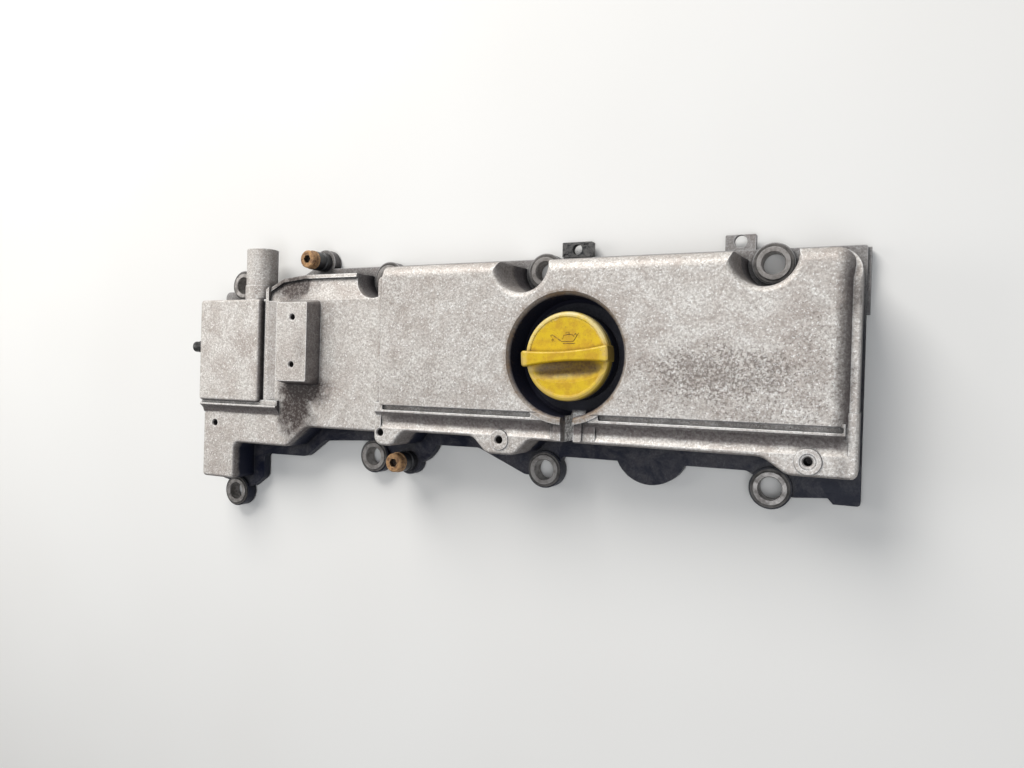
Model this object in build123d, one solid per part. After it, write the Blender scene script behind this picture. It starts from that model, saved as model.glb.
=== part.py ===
from build123d import *
import math
import os

# Engine valve cover: one cast aluminium shell with its oil filler cap, gasket, lug bushings and bolts.
# It lies on its gasket. +Z points out of the cover, +X runs along it and +Y is the side with the breather.
# The origin is under the middle of the cover. All sizes are in millimetres.

# Heights above the surface that the cover lies on
gasket_proud = 1.0
flange_thickness = 7.0
lug_rise = 2.0
middle_height = 31.0
box_height = 37.0
pad_rise = 13.0
rib_rise = 2.4
border_height = 47.0
face_rise = 4.0
wall = 3.6

# Cover in plan
cover_right = 254.0
cover_left = -256.0
flange_top = 92.5
flange_bottom = -44.5
panel_left = -67.0
panel_right = 253.0
panel_top = 86.0
border_edge = -32.0
lobe_edge = -43.0
ledge_line = -13.8
side_border = 6.5
face_round = 9.0
lip_round = 2.2
side_lip_width = 4.0
side_lip_drop = 0.6
side_lip_inset = 0.4
side_lip_fade = 18.0
side_lip_fall = 6.0

# Groove, bead and hollow below the raised face, and the same below the separator box
groove_width = 3.2
groove_depth = 3.2
bead_width = 2.0
bead_drop = 1.3
hollow_depth = 1.4
hollow_edge = -30.2
box_groove_width = 1.9
box_slope_end = -27.0
groove_spans = ((-58.0, 58.5), (104.5, 245.5))
bead_spans = ((-64.8, 70.0), (97.9, 246.4))
box_bead_right = -171.0

# Filler recess, neck and cap
filler_x = 81.2
filler_y = 23.1
recess_radius = 39.0
recess_floor_height = 27.0
recess_rim_round = 2.5
neck_height = 12.0
neck_bore_radius = 21.0
neck_wall = 4.5
neck_lip_thickness = 5.0
bayonet_reach = 3.4
bayonet_thickness = 4.6
bayonet_angle = 44.0
bayonet_slot_extra = 8.0
cap_radius = 28.8
cap_disc_thickness = 8.0
cap_plug_length = 13.0
cap_plug_wall = 2.6
grip_length = 60.0
grip_end_width = 11.0
grip_middle_width = 6.4
grip_rise = 4.6
grip_turn = 4.2
scoop_depth = 4.0
scoop_reach = 27.0
scoop_radius = 12.0
cap_dish = 0.6
cap_rim_width = 3.4
seal_section = 2.6
seal_width = 2.6
seal_land = 0.3
seal_groove_depth = 1.8
running_gap = 0.3
fit_gap = 0.05
drain_width = 8.7
drain_x = 83.6
bank_width = 5.6

# Lugs, grommets and bushings
lug_radius = 12.9
lug_bore_radius = 10.8
bushing_radius = 8.6
bushing_bore_radius = 7.0
bushing_length = 10.8
bushing_flange = 1.0
bushing_flange_radius = 10.3
grommet_lip = 0.8
grommet_lip_reach = 1.1
upper_lugs = ((-232.7, 80.8), (-83.1, 82.6), (48.9, 83.2), (201.4, 83.2))
lower_lugs = ((-235.7, -95.4), (-92.8, -55.8), (52.2, -55.2), (203.2, -55.2))
pocket_radius = 15.6
pocket_slope = 3.0
pocket_flare = 4.0

# Captive bolts that stand pushed up in the flange
bolt_spots = ((-148.0, 97.6), (-61.5, -57.2))
bolt_lobe_radius = 10.4
bolt_head_radius = 6.9
bolt_head_height = 7.0
bolt_socket_width = 6.0
bolt_shank_radius = 3.0
bolt_tip_height = 1.5
bolt_top_height = 30.0
bolt_sleeve_radius = 7.5
half_moons = ((-61.0, -35.0), (127.0, -35.0))
half_moon_radius = 25.0

# Threaded holes for brackets
pilot_radius = 2.5
pilot_mouth = 0.8
pilot_depth = 14.0
pilot_spots = ((-61.4, -33.7), (34.8, -33.3), (227.5, -33.9))
leg_hole_spot = (-240.7, -36.2)
pad_hole_spots = ((-148.2, 50.4), (-148.4, 13.8))
boss_wall = 3.2

# Separator box, pad, leg and breather
box_right = -188.4
box_top = 66.0
box_bottom = -17.2
leg_right = -219.0
leg_bottom = -81.5
leg_skirt = 11.5
step_edge = -51.5
step_inner = -35.0
step_left = -163.0
step_right = -143.0
crease_line = 64.5
slope_drop = 6.0
pad_left = -164.0
pad_right = -134.0
pad_bottom = 1.0
pad_top = 62.0
pad_draft = 12.0
rib_width = 3.0
rib_left = -185.4
rib_slope = 6.5
crest_left = -172.0
crest_right = -150.0
skirt_low = -60.0
corner_plate_left = 239.0
pipe_x = -199.5
pipe_height = 24.0
pipe_radius = 12.4
pipe_bore_radius = 9.4
pipe_end = 107.5
pipe_root_radius = 13.0
pipe_root_end = 77.5
plug_y = 27.3
plug_height = 31.0
plug_head_length = 11.3
plug_hex_length = 4.5
plug_hex_width = 9.4
plug_radius = 4.4

# Ears for a hose or cable clip
ear_thickness = 3.6
ear_height = 3.0
left_ear = (61.0, 81.4, 102.3)
right_ear = (171.3, 190.3, 102.5)
ear_hole_radius = 4.0
ear_hole_drop = 4.2
clip_thickness = 0.9

# Gasket
gasket_width = 3.4
gasket_depth = 4.2
gasket_inset = 0.6

# Baffle plate under the separator box
baffle_thickness = 1.2
baffle_height = 13.0
baffle_spots = ((-243.0, 56.0), (-243.0, -8.0), (-128.0, 56.0), (-128.0, -8.0))
baffle_boss_radius = 4.5
baffle_screw_radius = 2.0
baffle_head_radius = 4.2
baffle_head_height = 2.6

flange_base = gasket_proud
flange_upper = flange_base + flange_thickness
lug_top = flange_upper + lug_rise
middle_level = flange_base + middle_height
box_level = flange_base + box_height
border_level = flange_base + border_height
face_level = border_level + face_rise
recess_floor = flange_base + recess_floor_height
neck_top = recess_floor + neck_height
seal_inner = neck_bore_radius + bayonet_reach + seal_land
seal_outer = seal_inner + seal_width
bead_outer = ledge_line - groove_width - bead_width
all_lugs = upper_lugs + lower_lugs


def outline(points, radii, level=0.0):
    path = FilletPolyline(*points, radius=radii, close=True)
    return Pos(0, 0, level) * make_face(path)


def rectangle(left, bottom, right, top, radius=0.0):
    centre = ((left + right) / 2, (bottom + top) / 2)
    shape = Rectangle(right - left, top - bottom)
    if radius > 0:
        shape = RectangleRounded(right - left, top - bottom, radius)
    return Pos(centre[0], centre[1], 0) * shape


def block(sketch, lower, upper):
    return extrude(Pos(0, 0, lower) * sketch, amount=upper - lower, dir=(0, 0, 1))


def drum(spot, radius, lower, upper):
    return Pos(spot[0], spot[1], lower) * extrude(Circle(radius), amount=upper - lower, dir=(0, 0, 1))


def turned(points, spot=(0.0, 0.0)):
    profile = make_face(Polyline(*[(r, 0, z) for r, z in points], close=True))
    return Pos(spot[0], spot[1], 0) * revolve(profile, axis=Axis.Z)


def edges_at(solid, level, tolerance=0.05):
    chosen = []
    for edge in solid.edges():
        box = edge.bounding_box()
        if abs(box.min.Z - level) < tolerance and abs(box.max.Z - level) < tolerance:
            chosen.append(edge)
    return chosen


# Plan outlines of the casting
def border_plan():
    points = [
        (panel_left, lobe_edge),
        (panel_left + 15.5, lobe_edge),
        (panel_left + 24.0, border_edge),
        (pilot_spots[1][0] - 21.0, border_edge),
        (pilot_spots[1][0] - 10.0, lobe_edge),
        (pilot_spots[1][0] + 10.5, lobe_edge),
        (pilot_spots[1][0] + 21.0, border_edge),
        (pilot_spots[2][0] - 25.0, border_edge - 0.8),
        (pilot_spots[2][0] - 11.0, lobe_edge + 0.6),
        (panel_right, lobe_edge + 0.6),
        (panel_right, ledge_line + 8.0),
        (panel_left + 14.0, ledge_line + 8.0),
        (panel_left + 14.0, panel_top - 7.0),
        (panel_left, panel_top - 7.0),
    ]
    radii = [7.0, 7.5, 9.0, 9.0, 8.5, 8.5, 9.0, 12.0, 12.0, 4.0, 0.0, 0.0, 0.0, 4.0]
    return outline(points, radii)


def panel_plan(right, corner):
    points = [
        (panel_left + side_border, ledge_line),
        (right, ledge_line),
        (right, panel_top),
        (panel_left + side_border, panel_top),
    ]
    return outline(points, [3.0, 0.0, corner, 0.0])


def face_plan():
    return panel_plan(panel_right - side_lip_width, 14.0 - side_lip_width)


def lip_plan():
    return panel_plan(panel_right - side_lip_inset, 14.0)


def middle_plan():
    points = [
        (cover_left + 2.0, leg_bottom),
        (leg_right, leg_bottom),
        (leg_right, step_edge),
        (step_left, step_edge),
        (step_right, step_inner),
        (panel_left + 12.0, step_inner),
        (panel_left + 12.0, panel_top - 1.0),
        (crest_right, panel_top - 1.0),
        (crest_left, panel_top - 3.6),
        (rib_left, box_top + 8.0),
        (rib_left, box_top),
        (cover_left + 2.0, box_top),
    ]
    return outline(points, [3.0, 3.0, 5.0, 9.0, 12.0, 0.0, 0.0, 10.0, 6.0, 2.5, 0.0, 5.0])


def box_plan():
    return rectangle(cover_left + 2.0, box_bottom, box_right, box_top, 3.0)


def flange_plan():
    plan = outline(
        [
            (cover_left, leg_bottom - 4.0),
            (leg_right - 3.0, leg_bottom - 10.0),
            (leg_right + leg_skirt, leg_bottom),
            (leg_right + leg_skirt, step_edge - 10.0),
            (step_left, step_edge - 9.5),
            (step_right - 1.0, step_inner - 12.0),
            (lower_lugs[1][0] - 11.0, flange_bottom),
            (lower_lugs[2][0] - 54.0, flange_bottom + 1.0),
            (lower_lugs[2][0] - 16.0, skirt_low),
            (lower_lugs[2][0] + 8.0, skirt_low),
            (lower_lugs[2][0] + 12.0, flange_bottom - 1.0),
            (lower_lugs[3][0] - 15.0, flange_bottom - 1.0),
            (lower_lugs[3][0] + 13.0, skirt_low),
            (corner_plate_left - 3.0, skirt_low + 1.5),
            (corner_plate_left, skirt_low - 2.0),
            (cover_right, skirt_low - 2.0),
            (cover_right, flange_top),
            (crest_right - 10.0, flange_top),
            (crest_left - 4.0, panel_top - 2.0),
            (rib_left - 4.6, box_top + 10.0),
            (cover_left, box_top + 10.0),
        ],
        [4, 8, 6, 4, 8, 8, 0, 6, 6, 4, 3, 4, 4, 1, 1, 2, 2, 4, 6, 6, 5],
    )
    for spot in all_lugs:
        plan = plan + Pos(spot[0], spot[1], 0) * Circle(lug_radius)
    for spot in half_moons:
        plan = plan + Pos(spot[0], spot[1], 0) * Circle(half_moon_radius)
    for spot in bolt_spots:
        plan = plan + Pos(spot[0], spot[1], 0) * Circle(bolt_lobe_radius)
    return plan


def inset(plan, amount):
    return offset(plan, amount=-amount, kind=Kind.INTERSECTION)


# Outer form of the casting, made as raised blocks with drafted walls
def border_block():
    body = block(border_plan(), flange_base, border_level)
    start = [e for e in edges_at(body, border_level) if e.center().Y < border_edge + 4.0]
    return fillet(start, lip_round)


def face_block():
    body = block(face_plan(), flange_base, face_level)
    far = [e for e in edges_at(body, face_level) if e.center().Y > panel_top - 1.0]
    body = fillet(far, face_round)
    near = [e for e in edges_at(body, face_level) if e.center().Y < ledge_line + 0.5]
    return fillet(near, 1.0)


def slope_cutter():
    far = panel_top + 20.0
    far_level = middle_level - slope_drop * (far - crease_line) / (panel_top - crease_line)
    profile = Polyline(
        (0, crease_line, middle_level),
        (0, far, far_level),
        (0, far, middle_level + 20.0),
        (0, crease_line, middle_level + 20.0),
        close=True,
    )
    start = rib_left + rib_width
    face = Pos(start, 0, 0) * make_face(profile)
    return extrude(face, amount=panel_left + 12.0 - start, dir=(1, 0, 0))


def middle_block():
    body = block(middle_plan(), flange_base, middle_level)
    lower = [e for e in edges_at(body, middle_level) if e.center().Y < step_inner + 6.0]
    body = fillet(lower, 2.4)
    return body - slope_cutter()


def separator_box():
    body = block(box_plan(), flange_base, box_level)
    rim = edges_at(body, box_level)
    top = [e for e in rim if e.center().Y > box_top - 3.5 or e.center().X > box_right - 3.5]
    return fillet(top, 2.4)


def edge_rib():
    band = middle_plan() - inset(middle_plan(), rib_width)
    window = rectangle(rib_left - 2.0, crease_line, upper_lugs[1][0] - 14.0, panel_top + 4.0)
    piece = block(band & window, middle_level - slope_drop - 2.0, middle_level + rib_rise)
    lowered = Pos(0, 0, rib_rise) * slope_cutter()
    right = rib_left + rib_width
    profile = Polyline(
        (rib_left, 0, middle_level - 3.0), (rib_left, 0, middle_level + rib_rise),
        (right, 0, middle_level + rib_rise), (right + rib_slope, 0, middle_level),
        (right + rib_slope, 0, middle_level - 3.0), close=True,
    )
    start = box_bottom - 3.0
    west = extrude(Pos(0, start, 0) * make_face(profile), amount=crease_line - start, dir=(0, 1, 0))
    return (piece - lowered) + west


def pad_block():
    top_plan = rectangle(pad_left, pad_bottom, pad_right, pad_top, 1.5)
    top = Pos(0, 0, middle_level + pad_rise) * top_plan
    body = extrude(top, amount=pad_rise + 2.0, dir=(0, 0, -1), taper=-pad_draft)
    return body


def lug_pocket(spot, extra=0.0):
    upper = face_level + 6.0
    straight = face_level - pocket_flare
    radius = pocket_radius + extra
    wide = radius + pocket_slope
    profile = make_face(
        Curve() + [
            Line((0, 0, flange_upper - extra), (radius, 0, flange_upper - extra)),
            Line((radius, 0, flange_upper - extra), (wide, 0, straight)),
            ThreePointArc(
                (wide, 0, straight),
                (wide + pocket_flare * (1 - math.sqrt(0.5)), 0, straight + pocket_flare * math.sqrt(0.5)),
                (wide + pocket_flare, 0, face_level),
            ),
            Line((wide + pocket_flare, 0, face_level), (wide + pocket_flare, 0, upper)),
            Line((wide + pocket_flare, 0, upper), (0, 0, upper)),
            Line((0, 0, upper), (0, 0, flange_upper - extra)),
        ]
    )
    return Pos(spot[0], spot[1], 0) * revolve(profile, axis=Axis.Z)


def recess_cutter():
    rim = recess_radius + recess_rim_round
    profile = make_face(
        Polyline(
            (0, 0, recess_floor),
            (recess_radius - 3.0, 0, recess_floor),
            (recess_radius - 0.8, 0, recess_floor + 2.2),
            (recess_radius, 0, face_level - recess_rim_round),
            (rim, 0, face_level + 0.1),
            (rim, 0, face_level + 9.0),
            (0, 0, face_level + 9.0),
            close=True,
        )
    )
    return Pos(filler_x, filler_y, 0) * revolve(profile, axis=Axis.Z)


def side_lip():
    right = panel_right - side_lip_inset
    level = border_level - side_lip_drop
    band = rectangle(right - side_lip_width * 3, ledge_line - 1.0, right + 1.0, panel_top)
    body = block(lip_plan() & band, flange_base, level)
    middle = right - side_lip_width * 2
    rim = [e for e in edges_at(body, level) if e.center().X > middle and e.center().Y > ledge_line + 1.0]
    body = fillet(rim, 1.6)
    start = panel_top - side_lip_fade
    fade = Polyline(
        (0, start, level), (0, panel_top + 1.0, level - side_lip_fall), (0, panel_top + 1.0, level + 2.0),
        (0, start, level + 2.0), close=True,
    )
    return body - extrude(Pos(panel_right - 20.0, 0, 0) * make_face(fade), amount=30.0, dir=(1, 0, 0))


# Hollow along the border, as seen in a cut across it
def hollow_arc():
    middle = (bead_outer + hollow_edge) / 2
    return ThreePointArc(
        (0, bead_outer, face_level - bead_drop - 0.6),
        (0, middle, border_level - hollow_depth),
        (0, hollow_edge, border_level),
    )


def hollow_cutter(left, right):
    top = face_level + 5.0
    profile = Curve() + [
        hollow_arc(),
        Line((0, hollow_edge, border_level), (0, hollow_edge, top)),
        Line((0, hollow_edge, top), (0, bead_outer, top)),
        Line((0, bead_outer, top), (0, bead_outer, face_level - bead_drop - 0.6)),
    ]
    return extrude(Pos(left, 0, 0) * make_face(profile), amount=right - left, dir=(1, 0, 0))


def face_bead(left, right):
    crest = face_level - bead_drop
    low = border_level - 4.0
    profile = Curve() + [
        Line((0, ledge_line + 2.0, low), (0, ledge_line + 2.0, crest)),
        Line((0, ledge_line + 2.0, crest), (0, bead_outer + 0.6, crest)),
        Line((0, bead_outer + 0.6, crest), (0, bead_outer, crest - 0.6)),
        hollow_arc(),
        Line((0, hollow_edge, border_level), (0, hollow_edge, low)),
        Line((0, hollow_edge, low), (0, ledge_line + 2.0, low)),
    ]
    return extrude(Pos(left, 0, 0) * make_face(profile), amount=right - left, dir=(1, 0, 0))


def face_groove(left, right):
    plan = rectangle(left, ledge_line - groove_width, right, ledge_line + 0.2, 1.2)
    return block(plan, face_level - groove_depth, face_level + 2.0)


def box_bead():
    crest = box_level - bead_drop
    near = box_bottom - box_groove_width
    far = near - bead_width
    profile = Polyline(
        (0, box_bottom + 2.0, middle_level - 2.0),
        (0, box_bottom + 2.0, box_level - groove_depth),
        (0, near, box_level - groove_depth),
        (0, near - 0.3, crest),
        (0, far + 0.4, crest),
        (0, far, crest - 0.6),
        (0, far - 2.6, middle_level + 1.2),
        (0, box_slope_end, middle_level),
        (0, box_slope_end, middle_level - 2.0),
        close=True,
    )
    left = cover_left + 2.6
    return extrude(Pos(left, 0, 0) * make_face(profile), amount=box_bead_right - left, dir=(1, 0, 0))


def recess_ring():
    ring = drum((filler_x, filler_y), recess_radius + 5.0, border_level - 6.0, face_level - 0.6)
    return ring & block(rectangle(filler_x - 60, ledge_line - 10, filler_x + 60, filler_y), 0, face_level)


def drain_banks():
    bottom = border_edge + 0.4
    reach = drain_width / 2 + bank_width
    low = rectangle(drain_x - reach, bottom, drain_x + reach, ledge_line + 6.0, 2.0)
    body = block(low, border_level - 4.0, border_level + 1.6)
    return fillet(edges_at(body, border_level + 1.6), 0.9)


def drain_cutter():
    half = drain_width / 2
    channel = rectangle(drain_x - half, border_edge - 20.0, drain_x + half, filler_y - recess_radius + 6.0)
    return block(channel, recess_floor, face_level + 5.0)


def pilot_rings():
    ring_top = border_level + 1.2
    ring = drum(pilot_spots[2], 7.6, border_level - 3.0, ring_top)
    ring = fillet(edges_at(ring, ring_top), 0.8)
    ring = ring - drum(pilot_spots[2], 4.6, border_level + 0.4, border_level + 3.0)
    middle_top = border_level + 0.8
    middle = drum(pilot_spots[1], 6.8, border_level - 3.0, middle_top)
    return ring + fillet(edges_at(middle, middle_top), 0.5)


def cavity():
    ceiling = wall
    face_room = block(inset(face_plan(), wall), 0, face_level - ceiling)
    border_room = block(inset(border_plan(), wall), 0, border_level - ceiling)
    lip_top = border_level - side_lip_drop - side_lip_fall - ceiling
    lip_room = block(inset(lip_plan(), wall), 0, lip_top)
    middle_room = block(inset(middle_plan(), wall), 0, middle_level - slope_drop - ceiling)
    crest = rectangle(cover_left + 2.0 + wall, box_bottom, panel_left + 12.0, crease_line - 2.0)
    middle_crest = block(crest & inset(middle_plan(), wall), 0, middle_level - ceiling)
    box_room = block(inset(box_plan(), wall), 0, box_level - ceiling)
    passage = rectangle(panel_left - 4.0, step_inner + wall, panel_left + 18.0, panel_top - 1.0 - wall)
    link = block(passage, 0, middle_level - slope_drop - ceiling)
    room = face_room + border_room + lip_room + middle_room + middle_crest + box_room + link
    tub = drum((filler_x, filler_y), recess_radius + wall, recess_floor - wall, face_level)
    half = drain_width / 2 + wall
    gutter = rectangle(drain_x - half, border_edge - 20.0, drain_x + half, filler_y - recess_radius + 6.0)
    room = room - tub - block(gutter, recess_floor - wall, face_level)
    for spot in upper_lugs[1:]:
        room = room - lug_pocket(spot, wall) - drum(spot, pocket_radius + wall, 0, flange_upper)
    boss_radius = pilot_radius + boss_wall
    for spot in pilot_spots:
        room = room - drum(spot, boss_radius, border_level - pilot_depth - boss_wall, face_level)
    room = room - drum(leg_hole_spot, boss_radius, middle_level - pilot_depth - boss_wall, face_level)
    for spot in baffle_spots:
        room = room - drum(spot, baffle_boss_radius, baffle_height + baffle_thickness, face_level)
    neck_outer = neck_bore_radius + bayonet_reach + neck_wall
    return room - drum((filler_x, filler_y), neck_outer, recess_floor - 6.0, face_level)


def filler_neck():
    outer = neck_bore_radius + bayonet_reach + neck_wall
    return drum((filler_x, filler_y), outer, recess_floor - 6.0, neck_top)


def neck_cutter():
    lip_under = neck_top - neck_lip_thickness
    bore = drum((0, 0), neck_bore_radius, 0, neck_top + 1.0)
    under = drum((0, 0), neck_bore_radius + bayonet_reach, recess_floor - 12.0, lip_under)
    slot_plan = bayonet_sector(neck_bore_radius + bayonet_reach, bayonet_angle + bayonet_slot_extra)
    slots = block(Rot(0, 0, 90) * slot_plan, lip_under - 1.0, neck_top + 1.0)
    return Pos(filler_x, filler_y, 0) * (Rot(0, 0, grip_turn) * (bore + under + slots))


def bayonet_sector(radius, angle):
    half = math.radians(angle / 2)
    reach = radius * 1.6
    across = reach * math.cos(half)
    aside = reach * math.sin(half)
    wedge = make_face(Polyline((0, 0), (across, -aside), (across, aside), close=True))
    pair = wedge + Rot(0, 0, 180) * wedge
    return pair & Circle(radius)


def gasket_plan(width):
    main = inset(cavity_plan(), -(gasket_inset + (gasket_width + width) / 2))
    core = inset(cavity_plan(), -(gasket_inset + (gasket_width - width) / 2))
    return main - core


def cavity_plan():
    plan = inset(border_plan() + lip_plan() + middle_plan(), wall)
    for spot in upper_lugs[1:]:
        plan = plan - Pos(spot[0], spot[1], 0) * Circle(pocket_radius + wall)
    return plan


def flange_ears():
    body = None
    for ear in (left_ear, right_ear):
        plan = rectangle(ear[0], flange_top - 4.0, ear[1], ear[2], 1.0)
        hole = Pos((ear[0] + ear[1]) / 2, ear[2] - ear_hole_drop, 0) * Circle(ear_hole_radius)
        piece = block(plan - hole, flange_base + ear_height, flange_base + ear_height + ear_thickness)
        body = piece if body is None else body + piece
    return body


def breather_rod(radius, start, end):
    return Pos(pipe_x, start, pipe_height) * (Rot(90, 0, 0) * extrude(Circle(radius), amount=start - end))


def drilled(spot, radius, lower, upper):
    mouth = radius + pilot_mouth
    start = upper - pilot_mouth
    top = upper + 5.0
    points = [(0, lower), (radius, lower), (radius, start), (mouth, upper), (mouth, top), (0, top)]
    return turned(points, spot)


def cover_casting():
    shell = block(flange_plan(), flange_base, flange_upper)
    tab = block(rectangle(cover_right - 8.0, 51.7, cover_right + 2.0, 91.5), flange_base, flange_base + 5.0)
    shell = shell + tab + flange_ears()
    border = border_block()
    for span in bead_spans:
        border = border - hollow_cutter(span[0] + 4.0, span[1] + 1.5)
    shell = shell + border + face_block() + side_lip() + recess_ring() + drain_banks() + pilot_rings()
    for span in bead_spans:
        shell = shell + face_bead(span[0], span[1])
    for span in groove_spans:
        shell = shell - face_groove(span[0], span[1])
    shell = shell + middle_block() + separator_box() + box_bead() + edge_rib() + pad_block()
    shell = shell + breather_rod(pipe_radius, pipe_end, 45.0)
    shell = shell + breather_rod(pipe_root_radius, pipe_root_end, 45.0)
    for spot in upper_lugs[1:]:
        shell = shell - lug_pocket(spot)
    shell = shell - recess_cutter() - drain_cutter()
    shell = shell - cavity()
    shell = shell + filler_neck() - neck_cutter()
    shell = shell - breather_rod(pipe_bore_radius, pipe_end + 1.0, 51.0)
    for spot in all_lugs:
        shell = shell + drum(spot, lug_radius, flange_base, lug_top)
    for spot in all_lugs:
        shell = shell - drum(spot, lug_bore_radius, flange_base - 1.0, lug_top + 1.0)
    for spot in bolt_spots:
        shell = shell - drum(spot, bolt_shank_radius + 0.8, 0, flange_upper + 1.0)
    for spot, level in zip(pilot_spots, (border_level, border_level + 0.8, border_level + 0.4)):
        shell = shell - drilled(spot, pilot_radius, border_level - pilot_depth, level)
    shell = shell - drilled(leg_hole_spot, pilot_radius, middle_level - pilot_depth, middle_level)
    for spot in pad_hole_spots:
        pad_level = middle_level + pad_rise
        shell = shell - drilled(spot, pilot_radius - 0.4, pad_level - pilot_depth, pad_level)
    for spot in baffle_spots:
        shell = shell - drum(spot, baffle_screw_radius, baffle_height, baffle_height + 12.0)
    shell = shell - block(gasket_plan(gasket_width), 0, flange_base + gasket_depth)
    plug_hole = Pos(cover_left - 2.0, plug_y, plug_height) * (Rot(0, 90, 0) * Cylinder(3.0, 20.0))
    return shell - plug_hole


# Oil filler cap with its bar grip and bayonet
def finger_scoop():
    reach = scoop_reach
    waist = scoop_radius
    profile = make_face(
        Curve() + [
            Line((-reach, 0, 0), (-reach, 0, waist - scoop_depth)),
            ThreePointArc((-reach, 0, waist - scoop_depth), (0, 0, waist), (reach, 0, waist - scoop_depth)),
            Line((reach, 0, waist - scoop_depth), (reach, 0, 0)),
            Line((reach, 0, 0), (-reach, 0, 0)),
        ]
    )
    spindle = revolve(profile, axis=Axis.X)
    return Pos(0, 0, waist - scoop_depth) * spindle


def grip_bar():
    half = grip_length / 2
    wide = grip_end_width / 2
    narrow = grip_middle_width / 2
    plan = make_face(
        Curve() + [
            ThreePointArc((-half, -wide, 0), (0, -narrow, 0), (half, -wide, 0)),
            Line((half, -wide, 0), (half, wide, 0)),
            ThreePointArc((half, wide, 0), (0, narrow, 0), (-half, wide, 0)),
            Line((-half, wide, 0), (-half, -wide, 0)),
        ]
    )
    plan = fillet(plan.vertices(), 2.0)
    bar = extrude(plan, amount=cap_disc_thickness + grip_rise, dir=(0, 0, 1))
    top = cap_disc_thickness + grip_rise
    return fillet(edges_at(bar, top), 1.4)


def filler_cap():
    base = neck_top + seal_section - seal_groove_depth
    rim = cap_radius
    top = cap_disc_thickness
    inner_rim = rim - cap_rim_width
    disc = turned([
        (0, 0), (rim - 1.0, 0), (rim, 1.0), (rim, top - 2.2), (rim - 0.7, top - 0.7), (rim - 2.0, top),
        (inner_rim + 0.3, top), (inner_rim - 0.3, top - cap_dish), (0, top - cap_dish),
    ])
    disc = disc - Pos(0, -8.0, top - cap_dish) * finger_scoop()
    keep = Circle(cap_radius + 0.8)
    bar = grip_bar() & extrude(keep, amount=40.0)
    head = disc + bar
    plug_radius = neck_bore_radius - running_gap
    plug = Circle(plug_radius) - Circle(plug_radius - cap_plug_wall)
    plug = Pos(0, 0, -cap_plug_length) * extrude(plug, amount=cap_plug_length + 1.0)
    reach = neck_bore_radius + bayonet_reach - running_gap
    tongue_plan = bayonet_sector(reach, bayonet_angle) - Circle(plug_radius - cap_plug_wall)
    tongue_top = neck_top - neck_lip_thickness - running_gap - base
    tongues = Pos(0, 0, tongue_top - bayonet_thickness) * extrude(tongue_plan, amount=bayonet_thickness)
    groove = Circle(seal_outer + fit_gap) - Circle(seal_inner - fit_gap)
    cap = head + plug + tongues - extrude(groove, amount=seal_groove_depth)
    return Pos(filler_x, filler_y, base) * (Rot(0, 0, grip_turn) * cap)


def filler_cap_seal():
    low = neck_top + fit_gap
    high = neck_top + seal_section
    return turned([
        (seal_inner + 0.5, low), (seal_outer - 0.5, low), (seal_outer, low + 0.5), (seal_outer, high),
        (seal_inner, high), (seal_inner, low + 0.5),
    ], (filler_x, filler_y))


# Lug fittings
def grommet(spot):
    inner = bushing_radius + fit_gap
    outer = lug_bore_radius - fit_gap
    lip = lug_bore_radius + grommet_lip_reach
    low = flange_base - 0.3
    top = lug_top + grommet_lip
    return turned([
        (inner, low), (outer - 0.8, low), (outer, low + 0.8), (outer, lug_top), (lip, lug_top), (lip, top),
        (inner, top),
    ], spot)


def bushing(spot):
    seat = lug_top + grommet_lip
    top = seat + bushing_flange
    foot = top - bushing_length
    rim = bushing_flange_radius
    bore = bushing_bore_radius
    return turned([
        (bore, foot), (bushing_radius, foot), (bushing_radius, seat), (rim, seat), (rim, top - 0.3),
        (rim - 0.3, top), (bore + 0.5, top), (bore, top - 0.5),
    ], spot)


# Captive bolts with their sleeves
def captive_bolt(spot):
    head_under = bolt_top_height - bolt_head_height
    shank = bolt_shank_radius
    shoulder = shank + 1.5
    washer = bolt_head_radius + 0.6
    seat = flange_upper + fit_gap
    top = bolt_top_height
    body = turned([
        (0, bolt_tip_height), (shank - 0.6, bolt_tip_height), (shank, bolt_tip_height + 0.8), (shank, seat),
        (shoulder, seat), (shoulder, head_under), (washer, head_under), (washer, head_under + 1.4),
        (bolt_head_radius, head_under + 1.6), (bolt_head_radius, top - 0.8), (bolt_head_radius - 0.8, top),
        (0, top),
    ])
    socket = extrude(RegularPolygon(bolt_socket_width / math.sqrt(3.0), 6), amount=4.5)
    body = body - Pos(0, 0, bolt_top_height - 4.0) * socket
    return Pos(spot[0], spot[1], 0) * body


def bolt_sleeve(spot):
    inner = bolt_shank_radius + 1.5 + fit_gap
    outer = bolt_sleeve_radius
    low = flange_upper + fit_gap
    high = bolt_top_height - bolt_head_height - fit_gap
    middle = (low + high) / 2
    waist = outer - 0.8
    return turned([
        (inner, low), (outer, low), (outer, middle - 1.6), (waist, middle - 1.0), (waist, middle + 1.0),
        (outer, middle + 1.6), (outer, high), (inner, high),
    ], spot)


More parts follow.
